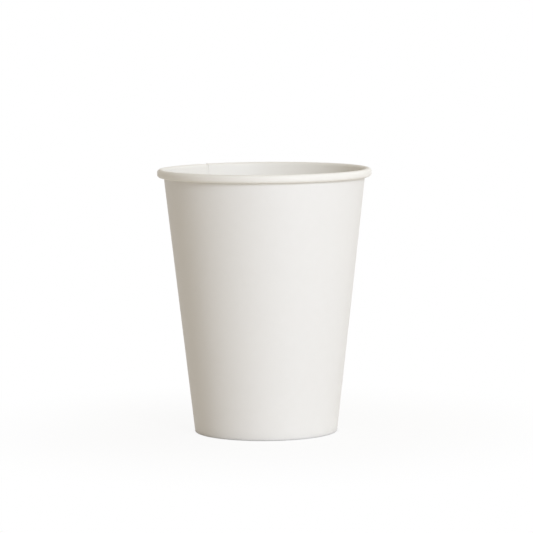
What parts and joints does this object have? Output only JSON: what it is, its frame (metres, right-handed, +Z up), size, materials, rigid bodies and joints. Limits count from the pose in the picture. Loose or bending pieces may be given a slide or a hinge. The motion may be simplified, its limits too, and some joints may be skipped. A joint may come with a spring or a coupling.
{
  "type": "paper coffee cup",
  "caption": "Tapered single-wall paper cup for hot drinks, with a rolled rim, a lapped side seam and a base disc held in a folded foot.",
  "frame": {"origin": "centre of the foot's resting plane", "axes": "+Z up along the cup's axis, +Y towards the middle of the side seam's overlap, +X to the right of it"},
  "size_m": [0.09, 0.09, 0.111],
  "materials": {
    "wall_board": "matt off-white cup board, with a thin satin film on the inside",
    "base_board": "off-white cup board, with a thin satin film on its upper face"
  },
  "bodies": {
    "root": {"sidewall": "wall_board", "base_disc": "base_board"}
  },
  "joints": []
}
